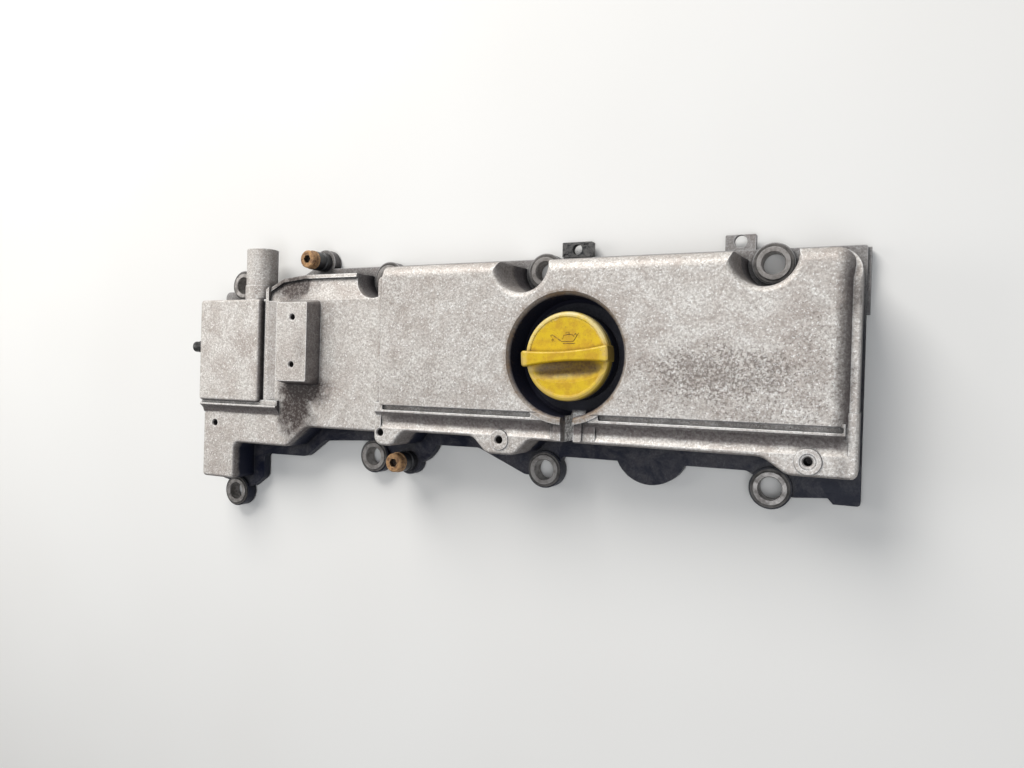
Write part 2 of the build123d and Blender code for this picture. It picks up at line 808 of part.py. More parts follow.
def clip_nut():
    left = left_ear[0] - 0.6
    right = left_ear[1] + fit_gap
    low = flange_base + ear_height - fit_gap
    high = low + ear_thickness + 2 * fit_gap
    outer = block(rectangle(left, flange_top + 0.4, right + clip_thickness, left_ear[2] + 0.9, 0.6),
                  low - clip_thickness, high + clip_thickness)
    room = block(rectangle(left - 1.0, flange_top - 1.0, right, left_ear[2] + 2.0), low, high)
    body = outer - room
    centre = ((left_ear[0] + left_ear[1]) / 2, left_ear[2] - ear_hole_drop)
    body = body - drum(centre, ear_hole_radius - 0.3, low - 3.0, high + 3.0)
    slot = rectangle(centre[0] + 4.6, left_ear[2] - 1.6, centre[0] + 8.4, left_ear[2] - 0.2)
    notch = rectangle(left_ear[0] + 0.6, flange_top + 1.2, left_ear[0] + 3.6, flange_top + 3.0)
    return body - block(slot, high - 0.5, high + 3.0) - block(notch, high - 0.5, high + 3.0)


def vent_plug():
    hexagon = RegularPolygon(plug_hex_width / 2, 6, major_radius=False)
    head = Rot(0, -90, 0) * extrude(hexagon, amount=plug_hex_length)
    stub = Rot(0, -90, 0) * extrude(Circle(plug_radius), amount=plug_head_length)
    stub = chamfer(stub.edges().group_by(Axis.X)[0], 0.7)
    shank = Rot(0, 90, 0) * extrude(Circle(3.0 - fit_gap), amount=wall + 2.0)
    return Pos(cover_left + 2.0, plug_y, plug_height) * (head + stub + shank)


def cover_gasket():
    return block(gasket_plan(gasket_width - 2 * fit_gap), 0, flange_base + gasket_depth - 0.2)


# Oil baffle under the separator, with its screws
def baffle_plate():
    reach = 7.0
    left = baffle_spots[0][0] - reach + 2.0
    right = baffle_spots[2][0] + reach
    low = baffle_spots[1][1] - reach
    high = baffle_spots[0][1] + reach - 2.0
    plan = rectangle(left, low, right, high, 4.0)
    for spot in baffle_spots:
        plan = plan - Pos(spot[0], spot[1], 0) * Circle(baffle_screw_radius + 0.2)
    body = block(plan, baffle_height, baffle_height + baffle_thickness)
    for step in range(5):
        x = left + 22.0 + step * (right - left - 44.0) / 4
        slot = Pos(x, (low + high) / 2, 0) * SlotOverall(30.0, 5.0, rotation=90)
        body = body - block(slot, baffle_height - 1.0, baffle_height + 3.0)
    return body


def baffle_screws():
    screws = []
    for spot in baffle_spots:
        low = baffle_height - baffle_head_height
        screw = turned([
            (0, low), (baffle_head_radius - 0.6, low), (baffle_head_radius, low + 0.8),
            (baffle_head_radius, baffle_height), (baffle_screw_radius - fit_gap, baffle_height),
            (baffle_screw_radius - fit_gap, baffle_height + 9.0), (0, baffle_height + 9.0),
        ], spot)
        screws.append(screw)
    return Compound(screws)


def save(shape, name):
    left = cover_left + 2.0 - plug_head_length
    right = cover_right + 2.0
    low = lower_lugs[0][1] - lug_radius
    high = bolt_spots[0][1] + bolt_lobe_radius
    placed = Pos(-(left + right) / 2, -(low + high) / 2, 0) * shape
    placed.label = name
    export_step(placed, "parts/" + name + ".step")


def main():
    os.makedirs("parts", exist_ok=True)
    save(cover_casting(), "cover_casting")
    save(filler_cap(), "filler_cap")
    save(filler_cap_seal(), "filler_cap_seal")
    save(cover_gasket(), "cover_gasket")
    for number, spot in enumerate(all_lugs, start=1):
        save(grommet(spot), "grommet_" + str(number))
        save(bushing(spot), "bushing_" + str(number))
    for name, spot in zip(("upper", "lower"), bolt_spots):
        save(captive_bolt(spot), "captive_bolt_" + name)
        save(bolt_sleeve(spot), "bolt_sleeve_" + name)
    save(clip_nut(), "clip_nut")
    save(vent_plug(), "vent_plug")
    save(baffle_plate(), "baffle_plate")
    save(baffle_screws(), "baffle_screws")


main()
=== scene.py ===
import math

import bpy
from mathutils import Matrix, Vector


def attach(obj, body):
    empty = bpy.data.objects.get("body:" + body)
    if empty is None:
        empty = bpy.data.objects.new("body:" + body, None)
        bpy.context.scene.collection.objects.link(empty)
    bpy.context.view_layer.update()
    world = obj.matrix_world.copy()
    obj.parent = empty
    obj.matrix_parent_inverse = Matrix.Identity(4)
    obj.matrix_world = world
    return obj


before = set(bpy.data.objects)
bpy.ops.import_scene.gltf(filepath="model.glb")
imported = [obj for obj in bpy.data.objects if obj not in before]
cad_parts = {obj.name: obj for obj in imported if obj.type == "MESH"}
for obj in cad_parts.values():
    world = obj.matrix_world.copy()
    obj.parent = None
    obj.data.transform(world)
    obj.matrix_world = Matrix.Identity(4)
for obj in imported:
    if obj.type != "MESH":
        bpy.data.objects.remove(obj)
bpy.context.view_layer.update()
print("frame loaded:", len(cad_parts), "nodes")

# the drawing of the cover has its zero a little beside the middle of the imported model
drawingShift = (0.00465, 0.00015)

# camera, floor and light
studio = {
    "cameraPlace": (0.26417 + drawingShift[0], 0.00849 + drawingShift[1], 0.50554),
    "cameraRight": (0.90008, 0.02799, -0.43483),
    "cameraUp": (-0.02883, 0.99957, 0.00465),
    "lens": 27.035,
    "floorHeight": -0.0006,
    "floorColor": (0.78, 0.775, 0.76, 1),
    "skyColor": (0.92, 0.96, 1.0, 1),
    "skyStrength": 0.2,
    "keyPower": 26.5,
    "keyPlace": (-0.45, 1.25, 0.95),
    "keySize": 0.9,
    "fillPower": 7.0,
    "fillSize": 0.9,
    "fillPlace": (0.35, -0.2, 1.25),
    "rimPower": 2.4,
    "rimSize": 0.5,
    "rimPlace": (-0.95, 0.1, 0.6),
    "warmTint": (1.0, 0.98, 0.95),
    "coolTint": (0.95, 0.97, 1.0),
    "aim": (0.0, 0.0, 0.02),
}


def setUpCamera():
    right = Vector(studio["cameraRight"]).normalized()
    up = Vector(studio["cameraUp"])
    up = (up - right * up.dot(right)).normalized()
    back = right.cross(up)
    turn = Matrix((right, up, back)).transposed().to_4x4()
    data = bpy.data.cameras.new("photoCamera")
    data.lens = studio["lens"]
    data.sensor_width = 36.0
    data.clip_start = 0.01
    data.clip_end = 20.0
    camera = bpy.data.objects.new("photoCamera", data)
    camera.matrix_world = Matrix.Translation(studio["cameraPlace"]) @ turn
    bpy.context.scene.collection.objects.link(camera)
    bpy.context.scene.camera = camera


def addAreaLight(name, place, power, size, tint=studio["warmTint"]):
    data = bpy.data.lights.new(name, "AREA")
    data.energy = power
    data.size = size
    data.color = tint
    light = bpy.data.objects.new(name, data)
    light.location = place
    light.rotation_mode = "QUATERNION"
    light.rotation_quaternion = (Vector(studio["aim"]) - Vector(place)).to_track_quat("-Z", "Y")
    bpy.context.scene.collection.objects.link(light)


def setUpStudio():
    world = bpy.data.worlds.new("softSky")
    bpy.context.scene.world = world
    world.use_nodes = True
    background = world.node_tree.nodes["Background"]
    background.inputs["Color"].default_value = studio["skyColor"]
    background.inputs["Strength"].default_value = studio["skyStrength"]
    addAreaLight("keyLight", studio["keyPlace"], studio["keyPower"], studio["keySize"])
    fillTint = studio["coolTint"]
    addAreaLight("fillLight", studio["fillPlace"], studio["fillPower"], studio["fillSize"], fillTint)
    addAreaLight("rimLight", studio["rimPlace"], studio["rimPower"], studio["rimSize"])
    bpy.context.scene.view_settings.view_transform = "Standard"


def link(tree, start, end):
    tree.links.new(start, end)


def mathNode(tree, operation, first, second=None, clamp=False):
    node = tree.nodes.new("ShaderNodeMath")
    node.operation = operation
    node.use_clamp = clamp
    for socket, value in ((node.inputs[0], first), (node.inputs[1], second)):
        if value is None:
            continue
        if isinstance(value, (int, float)):
            socket.default_value = value
        else:
            link(tree, value, socket)
    return node.outputs[0]


def mixColor(tree, factor, first, second):
    node = tree.nodes.new("ShaderNodeMix")
    node.data_type = "RGBA"
    for socket, value in ((node.inputs[0], factor), (node.inputs[6], first), (node.inputs[7], second)):
        if isinstance(value, (int, float, tuple)):
            socket.default_value = value
        else:
            link(tree, value, socket)
    return node.outputs[2]


def noiseNode(tree, vector, scale, detail=3.0, roughness=0.55, distortion=0.0):
    node = tree.nodes.new("ShaderNodeTexNoise")
    node.inputs["Scale"].default_value = scale
    node.inputs["Detail"].default_value = detail
    node.inputs["Roughness"].default_value = roughness
    node.inputs["Distortion"].default_value = distortion
    link(tree, vector, node.inputs["Vector"])
    return node.outputs["Fac"]


def mapRange(tree, value, low, high, toLow=0.0, toHigh=1.0, smooth=True):
    node = tree.nodes.new("ShaderNodeMapRange")
    node.interpolation_type = "SMOOTHSTEP" if smooth else "LINEAR"
    link(tree, value, node.inputs["Value"])
    node.inputs["From Min"].default_value = low
    node.inputs["From Max"].default_value = high
    node.inputs["To Min"].default_value = toLow
    node.inputs["To Max"].default_value = toHigh
    return node.outputs["Result"]


def ramp(tree, value, span, toLow=0.0, toHigh=1.0, shift=0.0):
    # from one end of a stated span to the other
    return mapRange(tree, value, span[0] + shift, span[1] + shift, toLow, toHigh)


def newGroup(name, inputs, outputs):
    group = bpy.data.node_groups.new(name, "ShaderNodeTree")
    for label, kind, value in inputs:
        socket = group.interface.new_socket(label, in_out="INPUT", socket_type=kind)
        if value is not None:
            socket.default_value = value
    for label, kind in outputs:
        group.interface.new_socket(label, in_out="OUTPUT", socket_type=kind)
    start = group.nodes.new("NodeGroupInput")
    end = group.nodes.new("NodeGroupOutput")
    return group, start, end


def placeGroup(tree, group, **values):
    node = tree.nodes.new("ShaderNodeGroup")
    node.node_tree = group
    for label, value in values.items():
        socket = node.inputs[label]
        if isinstance(value, (int, float, tuple)):
            socket.default_value = value
        else:
            link(tree, value, socket)
    return node


def makeGrainGroup():
    # fine pitted skin of a casting or a moulding
    group, start, end = newGroup(
        "surfaceGrain",
        [("Vector", "NodeSocketVector", None), ("Scale", "NodeSocketFloat", 900.0)],
        [("Height", "NodeSocketFloat")],
    )
    fine = group.nodes.new("ShaderNodeTexNoise")
    fine.inputs["Detail"].default_value = 4.0
    fine.inputs["Roughness"].default_value = 0.65
    link(group, start.outputs["Vector"], fine.inputs["Vector"])
    link(group, start.outputs["Scale"], fine.inputs["Scale"])
    coarse = group.nodes.new("ShaderNodeTexNoise")
    coarse.inputs["Detail"].default_value = 2.0
    link(group, start.outputs["Vector"], coarse.inputs["Vector"])
    link(group, mathNode(group, "MULTIPLY", start.outputs["Scale"], 0.22), coarse.inputs["Scale"])
    height = mathNode(group, "ADD", mathNode(group, "MULTIPLY", fine.outputs["Fac"], 0.6),
                      mathNode(group, "MULTIPLY", coarse.outputs["Fac"], 0.4))
    link(group, height, end.inputs["Height"])
    return group


def makeEdgeWearAndHighlightGroup():
    # edges rubbed bright, with a painted highlight along them: where a rounded normal leaves the flat one
    group, start, end = newGroup(
        "edgeWearAndHighlight",
        [
            ("Radius", "NodeSocketFloat", 0.001),
            ("Gain", "NodeSocketFloat", 4.0),
            ("Breakup", "NodeSocketFloat", 0.5),
        ],
        [("Mask", "NodeSocketFloat")],
    )
    bevel = group.nodes.new("ShaderNodeBevel")
    bevel.samples = 4
    link(group, start.outputs["Radius"], bevel.inputs["Radius"])
    geometry = group.nodes.new("ShaderNodeNewGeometry")
    dot = group.nodes.new("ShaderNodeVectorMath")
    dot.operation = "DOT_PRODUCT"
    link(group, bevel.outputs["Normal"], dot.inputs[0])
    link(group, geometry.outputs["Normal"], dot.inputs[1])
    away = mathNode(group, "SUBTRACT", 1.0, dot.outputs["Value"])
    gained = mathNode(group, "MULTIPLY", away, start.outputs["Gain"])
    broken = mathNode(group, "MULTIPLY", gained, start.outputs["Breakup"], clamp=True)
    link(group, broken, end.inputs["Mask"])
    return group


def makeGrimeAndShadeGroup():
    # dirt and painted shade in corners and hollows: near walls they are thick, and noise breaks their border
    group, start, end = newGroup(
        "cornerGrimeAndShade",
        [
            ("Vector", "NodeSocketVector", None),
            ("Reach", "NodeSocketFloat", 0.01),
            ("Amount", "NodeSocketFloat", 1.0),
            ("Scale", "NodeSocketFloat", 120.0),
        ],
        [("Mask", "NodeSocketFloat")],
    )
    hollow = group.nodes.new("ShaderNodeAmbientOcclusion")
    hollow.samples = 6
    link(group, start.outputs["Reach"], hollow.inputs["Distance"])
    closed = mathNode(group, "SUBTRACT", 1.0, hollow.outputs["AO"])
    breakup = group.nodes.new("ShaderNodeTexNoise")
    breakup.inputs["Detail"].default_value = 5.0
    link(group, start.outputs["Vector"], breakup.inputs["Vector"])
    link(group, start.outputs["Scale"], breakup.inputs["Scale"])
    mixed = mathNode(group, "MULTIPLY", closed, mathNode(group, "ADD", breakup.outputs["Fac"], 0.45))
    amount = mathNode(group, "MULTIPLY", mixed, start.outputs["Amount"])
    link(group, mapRange(group, amount, 0.12, 0.75), end.inputs["Mask"])
    return group


grainGroup = makeGrainGroup()
edgeWearAndHighlightGroup = makeEdgeWearAndHighlightGroup()
grimeAndShadeGroup = makeGrimeAndShadeGroup()
print("shared effects made")


def newMaterial(name, roughness, metallic, specular=0.5):
    material = bpy.data.materials.new(name)
    material.use_nodes = True
    tree = material.node_tree
    shader = tree.nodes["Principled BSDF"]
    shader.inputs["Roughness"].default_value = roughness
    shader.inputs["Metallic"].default_value = metallic
    shader.inputs["Specular IOR Level"].default_value = specular
    place = tree.nodes.new("ShaderNodeTexCoord").outputs["Object"]
    return material, tree, shader, place


def addBump(tree, shader, height, strength, distance):
    bump = tree.nodes.new("ShaderNodeBump")
    bump.inputs["Strength"].default_value = strength
    bump.inputs["Distance"].default_value = distance
    link(tree, height, bump.inputs["Height"])
    link(tree, bump.outputs["Normal"], shader.inputs["Normal"])
    return bump


castLook = {
    "light": (0.70, 0.675, 0.64, 1),
    "dark": (0.47, 0.42, 0.385, 1),
    "speck": (0.15, 0.125, 0.11, 1),
    "bright": (0.88, 0.875, 0.86, 1),
    "sand": (0.30, 0.265, 0.24, 1),
    # the next three dark tones are dirt, oil and soot, and they also paint shade
    "wallDirtAndShade": (0.075, 0.062, 0.062, 1),
    "oil": (0.007, 0.009, 0.022, 1),
    "sootAndShade": (0.012, 0.012, 0.014, 1),
    "brown": (0.048, 0.036, 0.033, 1),
    "rust": (0.19, 0.12, 0.065, 1),
    "roughness": 0.5,
    "metallic": 0.3,
    "specular": 0.22,
    "grainScale": 620.0,
    "bumpStrength": 0.7,
    "bumpDepth": 0.0007,
    "softRadius": 0.0007,
    "wearAndHighlightRadius": 0.0015,
    "wearAndHighlightGain": 8.0,
    "grimeAndShadeReach": 0.009,
    "grimeAndShadeAmount": 1.25,
    "grimeAndShadeScale": 150.0,
}

# where the dirt, painted shade and painted light on the casting begin and end, in drawing metres
castPlaces = {
    "boxSideX": (-0.1745, -0.1720),
    "slopeSideX": (-0.1465, -0.1450),
    "faceHollowX": (-0.057, 0.247),
    "faceHollowY": (-0.0262, -0.0190),
    "faceHollowHeight": (0.0450, 0.0502),
    "boxHollowX": (-0.174, -0.168),
    "boxHollowY": (-0.0270, -0.0207),
    "boxHollowHeight": (0.0310, 0.0362),
    "lipX": (0.2490, 0.2496),
    "lipHeight": (0.0448, 0.0462),
    "pocketRadius": (0.0205, 0.0230),
    "pocketHeight": (0.0120, 0.0260),
    "pipeX": (-0.2125, -0.1865),
    "pipeY": (0.0665, 0.0685),
    "pipeHeight": (0.0150, 0.0260),
    "drainX": (0.0788, 0.0884),
    "drainY": (-0.0150, -0.0110),
    "drainHeight": (0.0270, 0.0420),
    "oilHeight": (0.024, 0.029),
    "sunnyY": (0.035, 0.065),
    "rimRadius": (0.0405, 0.0450),
    "recessRadius": (0.0395, 0.0415),
    "recessHeight": (0.0490, 0.0515),
}
pocketCentre = (-83.1, 82.6)

capLook = {
    "light": (0.65, 0.44, 0.009, 1),
    "dark": (0.53, 0.31, 0.006, 1),
    "dust": (0.74, 0.64, 0.33, 1),
    "edge": (0.86, 0.70, 0.18, 1),
    "speck": (0.20, 0.10, 0.02, 1),
    # dark brown for dirt and painted shade
    "dirtAndShade": (0.085, 0.042, 0.008, 1),
    "roughness": 0.4,
    "grainScale": 1100.0,
    "bumpStrength": 0.35,
    "bumpDepth": 0.0003,
    "wearAndHighlightRadius": 0.0008,
    "wearAndHighlightGain": 4.0,
    "grimeAndShadeReach": 0.004,
    "grimeAndShadeAmount": 1.1,
    "grimeAndShadeScale": 260.0,
    "centre": (81.2, 23.1),
    "dishHeight": 48.2,
    "turn": 4.2,
}

# where the dust, dirt and painted shade on the cap begin and end, in metres from its middle
capPlaces = {
    "dustRadius": (0.0240, 0.0268),
    "upperHalf": (0.004, 0.012),
    "fewSpecks": (-0.022, -0.004),
    "scoopRadius": (0.0240, 0.0256),
    "scoopAcross": (-0.0150, -0.0098),
    "wallRadius": (0.0278, 0.0290),
}

# soft dirty places, and painted shade along the right-hand fillet, in drawing millimetres: centre, half
# sizes, strength
brownSpotsAndShade = [
    (-148.0, -6.0, 32.0, 22.0, 10.0, 9.0, 1.0),
    (-140.0, 20.0, 32.0, 8.0, 30.0, 9.0, 0.55),
    (-156.0, -22.0, 32.0, 14.0, 18.0, 8.0, 0.95),
    (-150.0, -36.0, 31.0, 18.0, 10.0, 8.0, 0.6),
    # painted shade on the rounded right-hand edge of the panel
    (244.5, 22.0, 50.0, 4.0, 48.0, 8.0, 0.55),
    (248.0, 60.0, 50.0, 5.0, 14.0, 8.0, 0.6),
    (86.0, -18.0, 50.0, 17.0, 9.0, 8.0, 0.35),
]

# brown film on the slope by the breather, which ends at a straight line
slopeSpots = [
    (-160.0, 76.0, 30.0, 19.0, 10.0, 10.0, 0.85),
]

# places where dark specks lie thicker
speckSpots = [
    (180.0, 14.0, 52.0, 42.0, 15.0, 12.0, 1.0),
    (205.0, -3.0, 52.0, 34.0, 12.0, 12.0, 0.6),
    (228.0, 25.0, 52.0, 14.0, 30.0, 12.0, 0.5),
    (150.0, 0.0, 52.0, 26.0, 12.0, 12.0, 0.45),
    (-30.0, -2.0, 52.0, 30.0, 12.0, 12.0, 0.35),
    (-52.0, 66.0, 52.0, 10.0, 10.0, 12.0, 0.4),
]


def toModel(x, y, z):
    return (x / 1000.0 + drawingShift[0], y / 1000.0 + drawingShift[1], z / 1000.0)


def spotMask(tree, place, wobble, spots):
    total = None
    for x, y, z, reachX, reachY, reachZ, strength in spots:
        shift = tree.nodes.new("ShaderNodeVectorMath")
        shift.operation = "SUBTRACT"
        link(tree, place, shift.inputs[0])
        shift.inputs[1].default_value = toModel(x, y, z)
        scaled = tree.nodes.new("ShaderNodeVectorMath")
        scaled.operation = "DIVIDE"
        link(tree, shift.outputs["Vector"], scaled.inputs[0])
        scaled.inputs[1].default_value = (reachX / 1000.0, reachY / 1000.0, reachZ / 1000.0)
        length = tree.nodes.new("ShaderNodeVectorMath")
        length.operation = "LENGTH"
        link(tree, scaled.outputs["Vector"], length.inputs[0])
        uneven = mathNode(tree, "ADD", length.outputs["Value"], wobble)
        spot = mapRange(tree, uneven, 0.6, 1.7, strength, 0.0)
        total = spot if total is None else mathNode(tree, "MAXIMUM", total, spot)
    return total


def distanceTo(tree, acrossX, acrossY, x, y):
    # distance in the plan view from a place given in drawing millimetres
    flat = tree.nodes.new("ShaderNodeCombineXYZ")
    link(tree, acrossX, flat.inputs["X"])
    link(tree, acrossY, flat.inputs["Y"])
    away = tree.nodes.new("ShaderNodeVectorMath")
    away.operation = "DISTANCE"
    link(tree, flat.outputs["Vector"], away.inputs[0])
    away.inputs[1].default_value = toModel(x, y, 0.0)
    return away.outputs["Value"]


def bandMask(tree, value, span, soft, shift=0.0):
    # one inside the span, falling off softly outside
    low, high = span[0] + shift, span[1] + shift
    rise = mapRange(tree, value, low - soft, low + soft)
    fall = mapRange(tree, value, high - soft, high + soft, 1.0, 0.0)
    return mathNode(tree, "MULTIPLY", rise, fall)


def product(tree, *values):
    total = values[0]
    for value in values[1:]:
        total = mathNode(tree, "MULTIPLY", total, value)
    return total


def strongest(tree, *values):
    total = values[0]
    for value in values[1:]:
        total = mathNode(tree, "MAXIMUM", total, value)
    return total


def castSkin(tree, look, spot):
    # two warm greys, dark specks, bright flecks, hair lines, and rubbed edges with a painted highlight
    place, wobble = spot["place"], spot["wobble"]
    base = mixColor(tree, mapRange(tree, spot["patches"], 0.36, 0.68), look["light"], look["dark"])
    speckPlaces = spotMask(tree, place, wobble, speckSpots)
    speckEdge = mathNode(tree, "SUBTRACT", 0.61, mathNode(tree, "MULTIPLY", speckPlaces, 0.15))
    specks = mathNode(tree, "MULTIPLY", mathNode(tree, "SUBTRACT", spot["crumbs"], speckEdge), 11.0, True)
    speckled = mixColor(tree, mathNode(tree, "MULTIPLY", specks, 0.85), base, look["speck"])
    lineNoise = mathNode(tree, "SUBTRACT", noiseNode(tree, place, 55.0, 5.0, 0.62, 1.4), 0.5)
    linePlaces = mapRange(tree, noiseNode(tree, place, 18.0, 2.0), 0.42, 0.60, 0.1, 0.65)
    lines = mapRange(tree, mathNode(tree, "ABSOLUTE", lineNoise), 0.001, 0.0055, 1.0, 0.0)
    lined = mixColor(tree, mathNode(tree, "MULTIPLY", lines, linePlaces), speckled, look["speck"])
    sand = mapRange(tree, noiseNode(tree, place, 640.0, 4.0, 0.8), 0.40, 0.60, 0.0, 0.68)
    sanded = mixColor(tree, sand, lined, look["sand"])
    flecks = mapRange(tree, noiseNode(tree, place, 800.0, 3.0, 0.75), 0.55, 0.66, 0.0, 0.85)
    bright = mixColor(tree, flecks, sanded, look["bright"])
    smearNoise = noiseNode(tree, place, 130.0, 5.0, 0.7)
    smears = product(tree, speckPlaces, mapRange(tree, smearNoise, 0.42, 0.60, 0.0, 0.34))
    smeared = mixColor(tree, smears, bright, look["speck"])
    breakup = mapRange(tree, noiseNode(tree, place, 260.0, 3.0), 0.28, 0.55)
    # painted highlight along the edges, together with rubbed wear
    wearAndHighlight = placeGroup(tree, edgeWearAndHighlightGroup, Radius=look["wearAndHighlightRadius"], Gain=look["wearAndHighlightGain"], Breakup=breakup)
    return mixColor(tree, mathNode(tree, "MULTIPLY", wearAndHighlight.outputs["Mask"], 0.9), smeared, look["bright"])


def brownStainsAndShade(tree, spot):
    # stains on the middle plate and the slope, which end at the box and at a straight line, and painted shade
    # on the right-hand fillet
    place, wobble, shiftX = spot["place"], spot["wobble"], drawingShift[0]
    unevenX = mathNode(tree, "ADD", spot["x"], mathNode(tree, "MULTIPLY", wobble, 0.0016))
    boxSide = ramp(tree, unevenX, castPlaces["boxSideX"], shift=shiftX)
    slopeSide = ramp(tree, spot["x"], castPlaces["slopeSideX"], 1.0, 0.4, shift=shiftX)
    stainsAndShade = strongest(tree, product(tree, spotMask(tree, place, wobble, brownSpotsAndShade), boxSide),
                       product(tree, spotMask(tree, place, wobble, slopeSpots), slopeSide))
    return mathNode(tree, "MULTIPLY", stainsAndShade, mapRange(tree, spot["crumbs"], 0.36, 0.58, 0.8, 1.15))


def ledgeHollowShade(tree, spot, ledge, softness, alongX):
    # painted shade in the hollow below a ledge, with a ragged border
    unevenY = mathNode(tree, "ADD", spot["y"], mathNode(tree, "MULTIPLY", spot["wobble"], 0.0022))
    across = bandMask(tree, unevenY, castPlaces[ledge + "Y"], softness, drawingShift[1])
    level = bandMask(tree, spot["height"], castPlaces[ledge + "Height"], 0.0006)
    return product(tree, across, level, alongX)


def wallDirtAndShadeMask(tree, spot, pipe):
    # painted shade and dirt: walls that face down the picture or to the right are darkened, apart from the
    # lip, pipe and pocket
    facing, height, shiftX = spot["facing"], spot["height"], drawingShift[0]
    faceLength = bandMask(tree, spot["x"], castPlaces["faceHollowX"], 0.006, shiftX)
    hollow = ledgeHollowShade(tree, spot, "faceHollow", 0.0013, faceLength)
    boxLength = ramp(tree, spot["x"], castPlaces["boxHollowX"], 1.0, 0.0, shift=shiftX)
    boxHollow = ledgeHollowShade(tree, spot, "boxHollow", 0.0010, boxLength)
    downward = mathNode(tree, "MULTIPLY", facing.outputs["Y"], -1.0)
    steep = mathNode(tree, "MAXIMUM", facing.outputs["X"], downward)
    darkSide = mapRange(tree, steep, 0.22, 0.80, 0.0, 0.84)
    lip = product(tree, ramp(tree, spot["x"], castPlaces["lipX"], shift=shiftX),
                  ramp(tree, height, castPlaces["lipHeight"]))
    pocketAway = distanceTo(tree, spot["x"], spot["y"], *pocketCentre)
    pocket = product(tree, ramp(tree, pocketAway, castPlaces["pocketRadius"], 0.75, 0.0),
                     ramp(tree, height, castPlaces["pocketHeight"]))
    for clean in (lip, mathNode(tree, "MULTIPLY", pipe, 0.75), pocket):
        darkSide = mathNode(tree, "SUBTRACT", darkSide, clean, True)
    otherSide = mapRange(tree, facing.outputs["Z"], 0.15, 0.6, 0.55, 0.0)
    lifted = mapRange(tree, spot["crumbs"], 0.35, 0.65, 0.82, 1.0)
    return product(tree, strongest(tree, hollow, boxHollow, darkSide, otherSide), lifted)


def drainMask(tree, spot):
    return product(tree, bandMask(tree, spot["x"], castPlaces["drainX"], 0.0003, drawingShift[0]),
                   ramp(tree, spot["y"], castPlaces["drainY"], 1.0, 0.0),
                   bandMask(tree, spot["height"], castPlaces["drainHeight"], 0.0005))


def pipeMask(tree, spot):
    return product(tree, bandMask(tree, spot["x"], castPlaces["pipeX"], 0.0005, drawingShift[0]),
                   ramp(tree, spot["y"], castPlaces["pipeY"], shift=drawingShift[1]),
                   ramp(tree, spot["height"], castPlaces["pipeHeight"]))


def lowOilAndShadeMask(tree, spot, pipe):
    # oil and painted shade on the low walls and the flange, thinner where it faces the light or holds dust
    lowEdge = mathNode(tree, "ADD", spot["height"], mathNode(tree, "MULTIPLY", spot["wobble"], 0.006))
    lowDown = mathNode(tree, "SUBTRACT", 1.0, ramp(tree, lowEdge, castPlaces["oilHeight"]))
    sunny = ramp(tree, spot["y"], castPlaces["sunnyY"], 1.0, 0.55)
    facingUp = mapRange(tree, spot["facing"].outputs["Z"], 0.5, 0.95)
    dust = product(tree, facingUp, mapRange(tree, spot["patches"], 0.38, 0.62, 0.0, 0.10))
    dusty = mathNode(tree, "SUBTRACT", 1.0, dust)
    return product(tree, lowDown, sunny, dusty, mathNode(tree, "SUBTRACT", 1.0, pipe))


